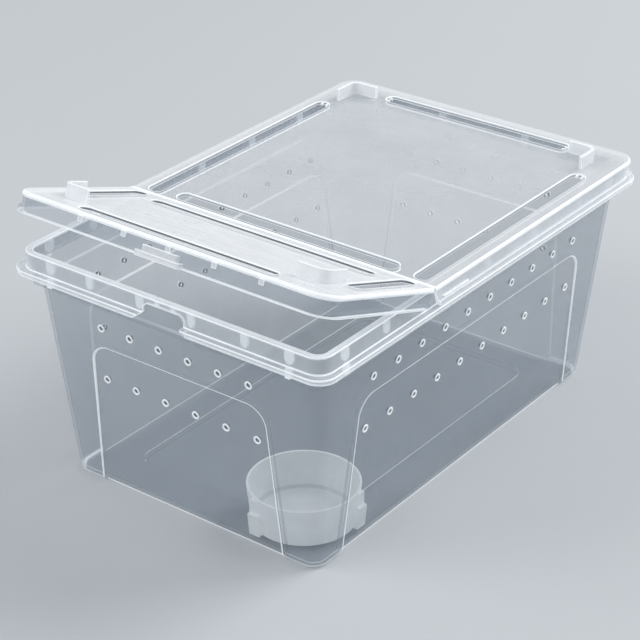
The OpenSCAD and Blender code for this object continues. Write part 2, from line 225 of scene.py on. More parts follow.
def skinLoops(rows, closed=False):
    # bridges rounded loops in turn; a closed run joins its last loop to its first,
    # and an open one gets a face at each end
    obj = join(*[roundedLoop(*row) for row in rows])
    pairs = list(zip(rows, rows[1:])) + ([(rows[-1], rows[0])] if closed else [])
    edit(obj, "EDGE")
    for low, high in pairs:
        # two loops at one height bridge with a twist, so one is lifted meanwhile
        lift = meshSet["lift"] if abs(low[2] - high[2]) < 0.01 else 0
        lifted = (*high[:2], high[2] + lift)
        if lift:
            select("edges", loopTest(high))
            bpy.ops.transform.translate(value=(0, 0, lift * mm))
        select("edges", loopTest(low, lifted))
        bpy.ops.mesh.bridge_edge_loops()
        if lift:
            select("edges", loopTest(lifted))
            bpy.ops.transform.translate(value=(0, 0, -lift * mm))
    for row in () if closed else (rows[0], rows[-1]):
        select("edges", loopTest(row))
        bpy.ops.mesh.edge_face_add()
    leave()
    faceOut(obj)
    return obj


def cutAway(obj, cutter):
    applyModifier(obj, "BOOLEAN", operation="DIFFERENCE", solver="EXACT", object=cutter)
    bpy.data.objects.remove(cutter)


def tidyMesh(obj):
    edit(obj, "VERT")
    selectAll()
    bpy.ops.mesh.remove_doubles(threshold=meshSet["merge"] * mm)
    bpy.ops.mesh.dissolve_limited(angle_limit=math.radians(meshSet["flat"]))
    leave()


def softenEdges(obj, width, clamp):
    # a small moulded radius on every sharp edge, in the piece's second plastic, which paints a highlight along it
    applyModifier(obj, "BEVEL", width=width * mm, segments=meshSet["radiusSteps"], limit_method="ANGLE",
                  angle_limit=math.radians(meshSet["sharp"]), use_clamp_overlap=clamp,
                  miter_outer="MITER_ARC", material=1)


def smooth(obj):
    # smooth curves, with the large flat faces left flat
    onlySelect(obj)
    bpy.ops.object.shade_smooth_by_angle(angle=math.radians(meshSet["smooth"]))
    applyModifier(obj, "WEIGHTED_NORMAL", keep_sharp=True, weight=meshSet["flatWeight"])


def level(f, up=1):
    # a face that looks straight up, or down
    return f.normal.z * up > 0.9


def report(obj):
    mesh = bmesh.new()
    mesh.from_mesh(obj.data)
    print(obj.name, len(mesh.verts), "points,", sum(not e.is_manifold for e in mesh.edges), "open edges")
    mesh.free()


# tub: a tapered shell with arched panels, a collar and rows of vent holes
tubSet = {
    "baseHalf": (89.22, 139.22),
    "baseRadius": 9.5,
    "shoulderHalf": (100.2, 150.2),
    "shoulderRadius": 11.2,
    "draft": 5,
    "ledge": 125.5,
    "ledgeThick": 1.5,
    "collarHalf": (102.7, 152.7),
    "collarRadius": 7.1,
    "collarInHalf": (101.2, 151.2),
    "collarInRadius": 5.6,
    "collarTop": 142.8,
    "wall": 1.6,
    "floor": 2.2,
    "footRound": 2.6,
    "footRoundIn": 1.6,
    "footBand": 5,  # the roundings at the foot lie below this height
    "roundedTilt": (0.08, 0.97),  # how much of a rounding's normal points up or down
    "plateauHalf": (63.2, 113.2),
    "plateauRadius": 10,
    "plateauHigh": 0.8,
    "postWide": 23.6,
    "panelLean": 3.1,
    "panelTop": {"side": 98, "end": 96},
    "panelRadius": 12,
    "panelSpread": 0.95,  # a corner wider than a right angle needs less of the radius
    "panelSteps": 10,
    "panelDepth": 2.5,
    "panelDepthTop": 1,
    "cutBelow": 6,  # how far the cutters reach past what they cut
    "cutOut": 40,
    "cutOver": 4,
    "cutStart": 1,
    "edgeRadius": 0.45,
    "panelRound": 1.1,
    "footEdge": 0.9,
    "footEdgeIn": 14.22,
    "cornerAngle": 0.6,
    "cornerFrom": 2.4,  # heights between which a panel's steps lie
    "stepFrom": 6,
    "panelEnd": 104,
    "onWall": 0.3,
    "behindWall": 0.9,
}
ventSet = {
    "bore": 2.9,
    "ring": 4.9,
    "sides": 20,
    "high": 0.5,
    "sunk": 0.2,
    "round": 0.4,
    "cutterLong": 8,
    "boreFace": 2,  # in square mm; the faces of a bore are smaller
    "boreNear": 0.05,
    # the rows of each wall: height, pitch, how many, and whether the row lies in the panel
    "side": ((109.1, 22.5, 10, False), (76, 22.85, 10, True)),
    "end": ((109.1, 20.8, 6, False), (74, 21.5, 6, True)),
}
draftSlope = math.tan(math.radians(tubSet["draft"]))


def footRows(half, radius, bottom, rounding, steps=4):
    # a quarter round from the flat underside up into the leaning wall
    rows = []
    for i in range(steps + 1):
        a = math.radians(90 * i / steps)
        z = bottom + rounding * (1 - math.cos(a))
        inset = rounding * (1 - math.sin(a)) - z * draftSlope
        rows.append((grow(half, -inset), radius, z))
    return rows


def faceLean(top):
    # a panel leans more than the wall, as it is deeper at its foot
    return math.atan(draftSlope + (tubSet["panelDepth"] - tubSet["panelDepthTop"]) / top)


def panelCutter(which, wider, inset):
    # the space in front of an arched panel and the one opposite, first made along X
    s = tubSet
    across = 0 if which == "side" else 1
    half, run, top = s["baseHalf"][across], s["baseHalf"][1 - across], s["panelTop"][which]
    lean = math.tan(faceLean(top))
    slope = math.tan(math.radians(s["panelLean"]))
    foot, low, high = run - s["postWide"] + wider, -s["cutBelow"], top + wider
    deselectAll()
    bpy.ops.mesh.primitive_plane_add(size=2, rotation=(0, math.radians(90), 0))
    obj = bpy.context.object
    bpy.ops.object.transform_apply()
    edit(obj, "VERT")
    mesh = bmesh.from_edit_mesh(obj.data)
    for v in mesh.verts:
        z = high if v.co.z > 0 else low
        y = foot - (top if v.co.z > 0 else low) * slope
        v.co = Vector((half - s["panelDepth"] - inset + z * lean, math.copysign(y, v.co.y), z)) * mm
    bmesh.update_edit_mesh(obj.data)
    select("verts", lambda v: v.co.z > 0)
    bevel((s["panelRadius"] + wider) * s["panelSpread"], s["panelSteps"], affect="VERTICES")
    selectAll()
    extrude(s["cutOut"], 0, 0)
    leave()
    faceOut(obj)
    twin = duplicate(obj)
    turn = 0 if which == "side" else 90
    place(twin, turn=(0, 0, turn + 180))
    place(obj, turn=(0, 0, turn))
    return join(obj, twin)


def ventSpots():
    # every vent: place and outward direction on the four walls
    spots = []
    s, draft = tubSet, math.radians(tubSet["draft"])
    for which, turn in (("side", 0), ("end", 90), ("side", 180), ("end", 270)):
        half = s["baseHalf"][0 if which == "side" else 1]
        for z, pitch, count, panelled in ventSet[which]:
            lean = faceLean(s["panelTop"][which]) if panelled else draft
            x = half - (s["panelDepth"] if panelled else 0) + z * math.tan(lean)
            for i in range(count):
                y = (i - (count - 1) / 2) * pitch
                about = Matrix.Rotation(math.radians(turn), 4, "Z")
                out = Matrix.Rotation(math.radians(90) + lean, 4, "Y")
                spots.append(about @ Matrix.Translation((x * mm, y * mm, z * mm)) @ out)
    return spots


ventPlaces = [spot.inverted() for spot in ventSpots()]  # these bring a point to a vent's own axis


def stamp(source, spots):
    # copies a piece to each place, each copy with its own mesh, and joins them
    copies = []
    for spot in spots:
        copy = duplicate(source)
        copy.matrix_world = spot
        copies.append(copy)
    bpy.data.objects.remove(source)
    onlySelect(*copies)
    bpy.ops.object.transform_apply()
    return join(*copies)


def makeTub():
    s = tubSet
    wall, ledge, start, over = s["wall"], s["ledge"], s["cutStart"], s["cutOver"]
    top, collar = (s["collarHalf"], s["collarRadius"]), (s["collarInHalf"], s["collarInRadius"])
    foot = footRows(s["baseHalf"], s["baseRadius"], 0, s["footRound"])
    body = skinLoops(foot + [
        (s["shoulderHalf"], s["shoulderRadius"], ledge - s["ledgeThick"]),
        (*top, ledge - s["ledgeThick"]), (*top, s["collarTop"])])
    across = wall / math.cos(math.radians(s["draft"]))  # the leaning wall's thickness, measured level
    foot = footRows(grow(s["baseHalf"], -across), s["baseRadius"] - wall, s["floor"], s["footRoundIn"])
    cavity = skinLoops(foot + [
        (grow(s["shoulderHalf"], -wall), s["shoulderRadius"] - wall, ledge),
        (*collar, ledge), (*collar, s["collarTop"] + over)])
    # the middle of the floor stands higher, inside and underneath
    inside = (s["plateauHalf"], s["plateauRadius"])
    below = (grow(s["plateauHalf"], -wall), s["plateauRadius"] - wall)
    raised = skinLoops([(*inside, start), (*inside, s["floor"] + s["plateauHigh"])])
    for cutter in (raised, panelCutter("side", wall, across), panelCutter("end", wall, across)):
        cutAway(cavity, cutter)
    under = skinLoops([(*below, -start), (*below, s["plateauHigh"])])
    for cutter in (under, panelCutter("side", 0, 0), panelCutter("end", 0, 0), cavity):
        cutAway(body, cutter)
    tidyMesh(body)
    return body


def footRounding(f):
    # the roundings at the foot, inside and out, and the ledge catch the light along their length
    z, (least, most) = middle(f).z, tubSet["roundedTilt"]
    rounded = 0.02 < z < tubSet["footBand"] and least < abs(f.normal.z) < most
    return rounded or abs(z - tubSet["ledge"]) < 0.1 and level(f)


def raisedSide(f):
    # the step up to the raised middle of the floor
    floor = tubSet["floor"]
    return floor < middle(f).z < floor + tubSet["plateauHigh"] + 0.1 and abs(f.normal.x) > 0.3


def inward(point):
    # how far a point lies inside the outer walls
    lean = point.z / mm * draftSlope
    return min(half + lean - abs(c) / mm for half, c in zip(tubSet["baseHalf"], point.xy))


def panelCorner(e):
    # the outer corner of each panel step, which gets a wider rounding than the other edges
    low, high = tubSet["cornerFrom"], tubSet["panelEnd"]
    onWall = all(abs(inward(v.co)) < tubSet["onWall"] and low < v.co.z / mm < high for v in e.verts)
    return onWall and sharp(e, tubSet["cornerAngle"])


def footEdge(e):
    # where a panel runs down to the underside
    x, y = grow(tubSet["baseHalf"], -tubSet["footEdgeIn"])
    outside = all(abs(v.co.z) < 0.05 * mm and (abs(v.co.x) > x * mm or abs(v.co.y) > y * mm) for v in e.verts)
    return outside and sharp(e, tubSet["cornerAngle"])


def innerStep(f):
    # of each panel step only the outer corner shows as a painted highlight line
    behind = inward(f.calc_center_median()) > tubSet["behindWall"]
    return behind and tubSet["stepFrom"] < middle(f).z < tubSet["panelEnd"]


def makeVentCutter():
    s = ventSet
    deselectAll()
    bpy.ops.mesh.primitive_cylinder_add(vertices=s["sides"], radius=s["bore"] / 2 * mm, depth=s["cutterLong"] * mm)
    return stamp(bpy.context.object, ventSpots())


def inVent(f):
    # the bore of a vent hole, which lies in its own shade
    s = ventSet
    reach, deep = (s["bore"] / 2 + s["boreNear"]) * mm, s["cutterLong"] / 2 * mm
    if f.calc_area() > s["boreFace"] * mm ** 2:
        return False
    spots = [back @ f.calc_center_median() for back in ventPlaces]
    return any(spot.xy.length < reach and abs(spot.z) < deep for spot in spots)


def makeVentRings():
    # one lip: an inset tube whose rim is rounded over, then copied to every hole
    s = ventSet
    deep = s["high"] + s["sunk"]
    deselectAll()
    bpy.ops.mesh.primitive_cylinder_add(vertices=s["sides"], radius=s["ring"] / 2 * mm, depth=deep * mm,
                                        location=(0, 0, (s["high"] - s["sunk"]) / 2 * mm))
    ring = bpy.context.object
    bpy.ops.object.transform_apply()
    edit(ring)
    select("faces", lambda f: level(f, -1))
    bpy.ops.mesh.delete(type="FACE")
    select("faces", level)
    bpy.ops.mesh.inset(thickness=(s["ring"] - s["bore"]) / 2 * mm)
    extrude(0, 0, -deep)
    bpy.ops.mesh.delete(type="FACE")
    select("edges", lambda e: all(v.co.z > 0.8 * s["high"] * mm for v in e.verts) and sharp(e, 0.9))
    bevel(s["round"], 3)
    leave()
    return stamp(ring, ventSpots())


def outlinePrism(points, across, low, high):
    # a filled circle whose points are moved on to the outline, then extruded along one axis
    axis = "xyz".index(across)
    deselectAll()
    bpy.ops.mesh.primitive_circle_add(vertices=len(points), radius=1, fill_type="NGON")
    obj = bpy.context.object
    edit(obj)
    mesh = bmesh.from_edit_mesh(obj.data)
    mesh.verts.ensure_lookup_table()
    for v, point in zip(mesh.verts, points):
        v.co = Vector((*point[:axis], low, *point[axis:])) * mm
    bmesh.update_edit_mesh(obj.data)
    selectAll()
    move = [0, 0, 0]
    move[axis] = high - low
    extrude(*move)
    leave()
    faceOut(obj)
    return obj


def block(low, high):
    # a box between two corners
    deselectAll()
    bpy.ops.mesh.primitive_cube_add(size=1, location=[(a + b) / 2 * mm for a, b in zip(low, high)])
    obj = bpy.context.object
    obj.scale = [(b - a) * mm for a, b in zip(low, high)]
    bpy.ops.object.transform_apply()
    return obj


def roundEdges(obj, test, radius, steps=4):
    edit(obj, "EDGE")
    select("edges", test)
    bevel(radius, steps, clamp_overlap=True)
    leave()


def arc(cx, cy, r, start, end, steps=6):
    # points along part of a circle, between two angles in degrees
    angles = [math.radians(start + (end - start) * i / steps) for i in range(steps + 1)]
    return [(cx + r * math.cos(a), cy + r * math.sin(a)) for a in angles]


# rim: a flat top, an upright wall and a flange with a turned-down lip
rimSet = {
    "inHalf": (101.2, 151.2),
    "inRadius": 5.6,
    "wallHalf": (105.6, 155.6),
    "wallRadius": 10,
    "flangeHalf": (110, 160),
    "flangeRadius": 11,
    "thick": 1.5,
    "top": 144.3,
    "flange": 134.3,
    "lip": 131,
    "edgeRadius": 0.6,
    "pillarWide": 4.8,
    "cornerPillarWide": 5.8,
    "pillarFoot": 134.7,
    "nubWide": 3,
    "nubLow": 127,
    "frontPillars": (-54, -18, 18, 54),
    "backPillars": (-31, 31),
    "sidePillars": (-97, -48.5, 0, 48.5, 97),
    "cornerEnd": 83.2,
    "cornerSide": 133.2,
    "notchHalf": 14,
    "notchFlare": 4.5,
    "notchTop": 140,
    "notchRadius": 4,
    "notchFrom": (125, 152.72),  # where its cutter's foot and inner end are
    "notchOut": 162,
    "ribs": (-5.5, 5.5),
    "ribWide": 2.4,
    "ribFoot": 139.2,
    "ribOut": 154.05,
    "gap": 0.04,  # keeps what stands between the walls off their faces
    "pillarRound": 0.49,  # as a share of its width
}


def makeRimBody():
    s = rimSet
    t, top, flange, lip = s["thick"], s["top"], s["flange"], s["lip"]
    inner = (s["inHalf"], s["inRadius"])
    wall, wallIn = [(grow(s["wallHalf"], -d), s["wallRadius"] - d) for d in (0, t)]
    edge, edgeIn = [(grow(s["flangeHalf"], -d), s["flangeRadius"] - d) for d in (0, t)]
    rim = skinLoops([
        (*inner, top), (*wall, top), (*wall, flange), (*edge, flange), (*edge, lip), (*edgeIn, lip),
        (*edgeIn, flange - t), (*wallIn, flange - t), (*wallIn, top - t), (*inner, top - t)], closed=True)
    half, wide, r = s["notchHalf"], s["notchHalf"] + s["notchFlare"], s["notchRadius"]
    foot, reach = s["notchFrom"]
    notch = outlinePrism(
        [(wide, foot), (wide, lip), (half, flange)] + arc(half - r, s["notchTop"] - r, r, 0, 90)
        + arc(r - half, s["notchTop"] - r, r, 90, 180) + [(-half, flange), (-wide, lip), (-wide, foot)],
        "y", -s["notchOut"], -reach)
    cutAway(rim, notch)
    tidyMesh(rim)
    return rim


def rimLand(f):
    # the flat top of the rim, which the cover lies on
    return level(f) and middle(f).z > rimSet["top"] - 0.3


def makePillar(wide):
    # a slab with a round foot, standing between the collar and the rim wall
    s = rimSet
    inner, outer = tubSet["collarHalf"][0] + s["gap"], s["wallHalf"][0] - s["thick"] - s["gap"]
    pillar = block((inner, -wide / 2, s["pillarFoot"]), (outer, wide / 2, s["top"] - s["thick"] - s["gap"]))
    foot, near = s["pillarFoot"] * mm, meshSet["near"]
    # the two edges at its foot that run across the gap
    roundEdges(pillar, lambda e: all(abs(v.co.z - foot) < near for v in e.verts)
               and abs(e.verts[0].co.y - e.verts[1].co.y) < near, wide * s["pillarRound"], 5)
    return pillar


def wallSpot(side, along):
    # a turn and a move that take a piece from the right wall to the wall named
    turn = {"right": 0, "back": 90, "left": 180, "front": 270}[side]
    x, y = rimSet["wallHalf"]
    out = y - x if side in ("front", "back") else 0
    return Matrix.Rotation(math.radians(turn), 4, "Z") @ Matrix.Translation((out * mm, along * mm, 0))


def makePillars():
    s = rimSet
    spots = [wallSpot(side, y) for side in ("right", "left") for y in s["sidePillars"]]
    spots += [wallSpot("front", y) for y in s["frontPillars"]] + [wallSpot("back", y) for y in s["backPillars"]]
    plain = stamp(makePillar(s["pillarWide"]), spots)
    ends = [wallSpot(side, sign * s["cornerSide"]) for side in ("right", "left") for sign in (-1, 1)]
    ends += [wallSpot(side, sign * s["cornerEnd"]) for side in ("front", "back") for sign in (-1, 1)]
    corner = stamp(makePillar(s["cornerPillarWide"]), ends)
    (x, y), under = grow(tubSet["collarHalf"], s["gap"]), -s["thick"] - s["gap"]
    half = s["nubWide"] / 2
    nubs = stamp(block((x, -half, s["nubLow"]), (s["wallHalf"][0], half, s["flange"] + under)), ends)
    half = s["ribWide"] / 2
    ribs = [block((rib - half, -s["ribOut"], s["ribFoot"]), (rib + half, -y, s["top"] + under)) for rib in s["ribs"]]
    return join(plain, corner, nubs, *ribs)


# lid and flap: one moulded cover, parted at the hinge
coverSet = {
    "skirtInHalf": (106, 156),
    "skirtInRadius": 10.4,
    "skirtThick": 1.7,
    "skirtFoot": 134.6,
    "lipOut": 1.8,
    "lipHigh": 3.4,
    "under": 144.4,
    "top": 146.8,
    "half": (108.3, 158.3),
    "radius": 12.5,
    "crown": 1.7,
    "crownSteps": 4,
    "hinge": -58.8,
    "webWide": 1,
    "skirtSlant": 17,
    "slantFoot": 133,
    "cutter": {"low": 128, "high": 150, "half": 130, "far": 200},  # reaches past the cover all round
    "edgeRadius": 0.7,
    "rimBand": 3,  # slot walls lie further than this from the outer edge
    "webBand": 2,  # and further than this from the hinge
    "hingeBand": 6,
    "plainBand": (1.2, 0.9),  # above the skirt's foot and below the plate
}
slotSet = {
    "wide": 9.4,
    "cutterHalf": 6,
    "toothGap": 3.6,
    "toothReach": 3,
    "toothHalf": 0.5,
    "toothLevel": (144.7, 146.4),
    "lid": (((-62.7, 143.6), (62.7, 143.6)), ((-73.3, -50.7), (73.3, -50.7)),
            ((-94.7, -51), (-94.7, 108.9)), ((94.7, -51), (94.7, 108.9))),
    "flap": (((-62.7, -147.4), (62.7, -147.4)), ((-73.3, -74), (73.3, -74)),
             ((-94.7, -66.6), (-94.7, -115.1)), ((94.7, -66.6), (94.7, -115.1))),
}
lugSet = {"leg": 19, "high": 8, "thick": 2, "radius": 6, "corner": (91, 139), "sunk": 0.2, "edgeRadius": 0.5}


def makeCover():
    # the whole cover as one moulding: a plate on a skirt with a lip round its foot
    s = coverSet
    inner, thick, out = (s["skirtInHalf"], s["skirtInRadius"]), s["skirtThick"], s["lipOut"]
    outer = (grow(s["skirtInHalf"], thick), s["skirtInRadius"] + thick)
    lip = (grow(outer[0], out), outer[1] + out)
    under, foot, step, r = s["under"], s["skirtFoot"], s["skirtFoot"] + s["lipHigh"], s["crown"]
    rows = [(*inner, under), (*inner, foot), (*lip, foot), (*lip, step), (*outer, step), (*outer, under),
            (s["half"], s["radius"], under)]
    for i in range(s["crownSteps"] + 1):
        a = math.radians(90 * i / s["crownSteps"])
        inset = r * (1 - math.cos(a))
        rows.append((grow(s["half"], -inset), s["radius"] - inset, s["top"] - r + r * math.sin(a)))
    return skinLoops(rows)


def partCover(cover, side):
    # cuts away what lies past the hinge; the skirt ends on a slant
    s, past = coverSet, coverSet["cutter"]
    low, high, far = past["low"], past["high"], -side * past["far"]
    edge = s["hinge"] + side * s["webWide"] / 2
    foot = edge + side * (s["under"] - s["slantFoot"]) * math.tan(math.radians(s["skirtSlant"]))
    outline = [(edge, high), (edge, s["under"]), (foot, s["slantFoot"]), (foot, low), (far, low), (far, high)]
    cutAway(cover, outlinePrism(outline, "x", -past["half"], past["half"]))


def cutSlots(cover, which):
    r, deep, mid = slotSet["wide"] / 2, slotSet["cutterHalf"], (coverSet["under"] + coverSet["top"]) / 2
    for (x0, y0), (x1, y1) in slotSet[which]:
        length = math.hypot(x1 - x0, y1 - y0)
        # a corner radius just short of half the width keeps a short straight end
        cutter = skinLoops([((length / 2 + r, r), r * 0.999, z) for z in (-deep, deep)])
        turn = 90 if x0 == x1 else 0
        cutAway(cover, place(cutter, ((x0 + x1) / 2, (y0 + y1) / 2, mid), (0, 0, turn)))


def slotWall(f):
    # upright faces of the plate, away from its outer edge and from the hinge
    s, c = coverSet, middle(f)
    x, y = grow(s["half"], -s["rimBand"])
    upright = abs(f.normal.z) < 0.3 and c.z > s["under"] - 0.1
    return upright and abs(c.x) < x and abs(c.y) < y and abs(c.y - s["hinge"]) > s["webBand"]


def crown(f):
    # the turned-over outer edge of the cover
    return 0.1 < f.normal.z < 0.95 and middle(f).z > coverSet["under"]


def skirt(f):
    return middle(f).z < coverSet["under"] - 0.05


def skirtFoot(f):
    return level(f, -1) and middle(f).z < coverSet["skirtFoot"] + 0.2


def atHinge(f):
    return abs(middle(f).y - coverSet["hinge"]) < coverSet["hingeBand"]


def skirtEnd(f):
    # where the skirt stops at the hinge
    return skirt(f) and abs(f.normal.y) > 0.5 and atHinge(f)


def skirtLip(f):
    # the small step above the skirt's foot is plain, so that only its foot and its top show as painted highlight
    # lines
    low, high = coverSet["plainBand"]
    return coverSet["skirtFoot"] + low < middle(f).z < coverSet["under"] - high


def makeLug():
    # two legs and a round corner, extruded up and thickened, with the outer corner at the origin
    s = lugSet
    size = s["leg"] - s["thick"] / 2
    deselectAll()
    bpy.ops.mesh.primitive_plane_add(size=size * mm, location=[-(size + s["thick"]) / 2 * mm] * 2 + [0])
    lug = bpy.context.object
    bpy.ops.object.transform_apply()
    edit(lug, "VERT")
    inner, far, near = -s["thick"] / 2 * mm, -s["leg"] * mm, meshSet["near"]
    select("verts", lambda v: abs(v.co.x - inner) < near and abs(v.co.y - inner) < near)
    bevel(s["radius"] - s["thick"] / 2, 6, affect="VERTICES")
    select("verts", lambda v: max(v.co.xy) < far + 0.01 * mm)
    bpy.ops.mesh.delete(type="VERT")
    selectAll()
    extrude(0, 0, s["high"] + s["sunk"])
    leave()
    applyModifier(lug, "SOLIDIFY", thickness=s["thick"] * mm, offset=0)
    return lug


def lugPair(end):
    lugs = []
    for side in (-1, 1):
        lug = makeLug()
        x, y = lugSet["corner"][0] * side, lugSet["corner"][1] * end
        onlySelect(lug)
        lug.scale = (side, end, 1)
        lug.location = (x * mm, y * mm, (coverSet["top"] - lugSet["sunk"]) * mm)
        bpy.ops.object.transform_apply()
        faceOut(lug)
        lugs.append(lug)
    return lugs


lidSet = {
    "beadOut": 107.6,  # the beads that snap over the rim, one on each side
    "beadHalf": 1,
    "beadSpan": (-50.7, -26.7),
    "beadLevel": (138, 139),
}


def makeLid():
    lid = makeCover()
    partCover(lid, 1)
    cutSlots(lid, "lid")
    tidyMesh(lid)
    half, (front, back), (low, high) = lidSet["beadHalf"], lidSet["beadSpan"], lidSet["beadLevel"]
    beads = [block((x - half, front, low), (x + half, back, high)) for x in (-lidSet["beadOut"], lidSet["beadOut"])]
    # pairs of small teeth hang in the far ends of the slots
    gap, reach, end = slotSet["toothGap"] / 2, slotSet["toothReach"], slotSet["wide"] / 2
    half, (low, high) = slotSet["toothHalf"], slotSet["toothLevel"]
    teeth = []
    for (x0, y0), (x1, y1) in slotSet["lid"]:
        if x0 == x1:
            teeth += [block((x - half, y1 + end - reach, low), (x + half, y1 + end, high))
                      for x in (x0 - gap, x0 + gap)]
        elif y0 > 0:
            teeth += [block((tip, y - half, low), (tip + reach, y + half, high))
                      for tip in (-x1 - end, x1 + end - reach) for y in (y0 - gap, y0 + gap)]
    return lid, lugPair(1) + beads + teeth


flapSet = {
    "open": 19.7,
    "tabHalf": 15.5,
    "tabOut": 4,
    "tabLow": 3.2,
    "tabHigh": 6.6,
    "tabStep": 3,
    "tabRadius": 1.6,
    "sunk": 0.2,
    "gussets": (-58, -27, 4, 35, 66),
    "gussetWide": 3.4,
    "gussetHigh": 3.5,
}


def openFlap(obj):
    # turns the flap up about the hinge, as it stands at rest
    pivot = Vector((0, coverSet["hinge"], coverSet["top"])) * mm
    turn = Matrix.Rotation(math.radians(-flapSet["open"]), 4, "X")
    onlySelect(obj)
    obj.matrix_world = Matrix.Translation(pivot) @ turn @ Matrix.Translation(-pivot)
    bpy.ops.object.transform_apply()
    return obj


def makeFlap():
    s, c, near = flapSet, coverSet, meshSet["near"]
    flap = makeCover()
    partCover(flap, -1)
    cutSlots(flap, "flap")
    tidyMesh(flap)
    face = -c["skirtInHalf"][1] - c["skirtThick"]
    foot, inside = c["skirtFoot"], face + s["sunk"]
    tab = []
    for half, out, high in ((s["tabHalf"], s["tabOut"], s["tabLow"]),
                            (s["tabHalf"] - s["tabStep"], s["tabOut"] / 2, s["tabHigh"])):
        step = block((-half, face - out, foot), (half, inside, foot + high))
        front = (face - out) * mm
        # the two upright edges at the front
        roundEdges(step, lambda e: all(abs(v.co.y - front) < near for v in e.verts)
                   and abs(e.verts[0].co.z - e.verts[1].co.z) > mm, s["tabRadius"])
        tab.append(step)
    half, out = s["gussetWide"] / 2, c["half"][1] - 0.02
    low, high = c["under"] - s["gussetHigh"], c["under"] + 0.1
    gussets = [block((x - half, -out, low), (x + half, inside, high)) for x in s["gussets"]]
    return flap, lugPair(-1) + tab + gussets


# hinge: the thin web left between the lid and the flap
webSet = {"half": 107.7, "thick": 0.45, "columns": 24, "rows": 8}


def makeWeb():
    s, c = webSet, coverSet
    reach, bend = c["webWide"] / 2, math.radians(flapSet["open"])
    deselectAll()
    bpy.ops.mesh.primitive_grid_add(x_subdivisions=s["columns"], y_subdivisions=s["rows"], size=2)
    web = bpy.context.object
    edit(web, "VERT")
    mesh = bmesh.from_edit_mesh(web.data)
    for v in mesh.verts:
        # the half on the flap's side rises with the open flap
        y = v.co.y * reach
        out, up = (y, 0) if y > 0 else (y * math.cos(bend), -y * math.sin(bend))
        v.co = Vector((v.co.x * s["half"], c["hinge"] + out, c["top"] + up)) * mm
    bmesh.update_edit_mesh(web.data)
    leave()
    applyModifier(web, "SOLIDIFY", thickness=s["thick"] * mm, offset=-1)
    faceOut(web)
    return web


# dish: a milky cup with a rounded rim and two stepped ears towards the tub walls
dishSet = {
    "centre": (52.8, -102.8, 3),
    "foot": 30.02,
    "footRows": ((3, 0.35), (2.4, 0), (0.5, 0)),  # inset and height of the raised middle and the foot ring
    "footEdge": 0.5,
    "high": 24,
    "wall": 1.5,
    "lipRound": 0.7,
    "insideRows": ((0, 3), (0.5, 1.9), (1.4, 1.5)),  # inset and height where the inside meets the floor
    "earWide": 7,
    "earShift": 10.5,
    "earRoot": 26.82,
    "earReach": 32.02,
    "earShort": 31.5,
    "earStep": 14,
    "earTop": 22,
    "earRadius": 0.4,
    "boreIn": 0.9,  # the bore that clears the ears out of the cup
    "borePast": (3, 6),
    "cornerBand": (1.55, 2.9),
    "lean": 5.9,
}


def spinUp(rows, vertices=96):
    # a disc that is extruded and resized ring by ring
    radius, z = rows[0]
    deselectAll()
    bpy.ops.mesh.primitive_circle_add(vertices=vertices, radius=radius * mm, fill_type="NGON",
                                      location=(0, 0, z * mm))
    obj = bpy.context.object
    bpy.ops.object.transform_apply()
    edit(obj)
    selectAll()
    for (r0, z0), (r1, z1) in zip(rows, rows[1:]):
        extrude(0, 0, z1 - z0)
        bpy.ops.transform.resize(value=(r1 / r0, r1 / r0, 1), center_override=(0, 0, z1 * mm))
    leave()
    faceOut(obj)
    return obj


def cupInside(f):
    # the inside of the cup, which lies in its own shade
    c, wall = middle(f) - Vector(dishSet["centre"]), dishSet["wall"]
    floor = f.normal.z > 0.5 and c.z < 2 * wall
    return floor or f.normal.xy.dot(c.xy) < -0.3 * c.xy.length and c.z < dishSet["high"] - wall


def cupCorner(f):
    # the small round where the inside wall meets the floor, painted darker as shade
    c, (low, high) = middle(f) - Vector(dishSet["centre"]), dishSet["cornerBand"]
    return low < c.z < high and f.normal.z > 0.2 and c.xy.length < dishSet["foot"]


def makeDish():
    s = dishSet
    slope = math.tan(math.radians(s["lean"]))
    r, high, wall, step = s["lipRound"], s["high"], s["wall"], s["earStep"]

    def outer(z):
        return s["foot"] + z * slope

    rows = [(s["foot"] - inset, z) for inset, z in s["footRows"]]
    rows += [(outer(z), z) for z in (s["footEdge"], high - r)] + arc(outer(high) - r, high - r, r, 20, 160)
    rows += [(outer(z) - wall - inset, z) for inset, z in s["insideRows"]]
    cup = spinUp(rows)
    root, reach, short, top = s["earRoot"], s["earReach"], s["earShort"], s["earTop"]
    low, over = s["borePast"]
    ears = []
    outline = [(root, 0), (reach, 0), (reach + step * slope, step), (short, step), (short, top), (root, top)]
    for turn, move in ((0, (0, s["earShift"], 0)), (-90, (-s["earShift"], 0, 0))):
        ear = outlinePrism(outline, "y", -s["earWide"] / 2, s["earWide"] / 2)
        ears.append(place(ear, move, (0, 0, turn)))
    for ear in ears:
        cutAway(ear, spinUp([(outer(0) - s["boreIn"], -low), (outer(high + over) - s["boreIn"], high + over)]))
    for piece in [cup] + ears:
        place(piece, s["centre"])
    return cup, ears


# materials

def addNode(tree, kind, settings={}, links={}):
    # adds a node with its settings and links; a link given as a node comes from its first output
    node = tree.nodes.new(kind)
    for key, value in settings.items():
        if key in node.inputs:
            node.inputs[key].default_value = value
        else:
            setattr(node, key, value)
    for key, source in links.items():
        tree.links.new(getattr(source, "outputs", [source])[0], node.inputs[key])
    return node
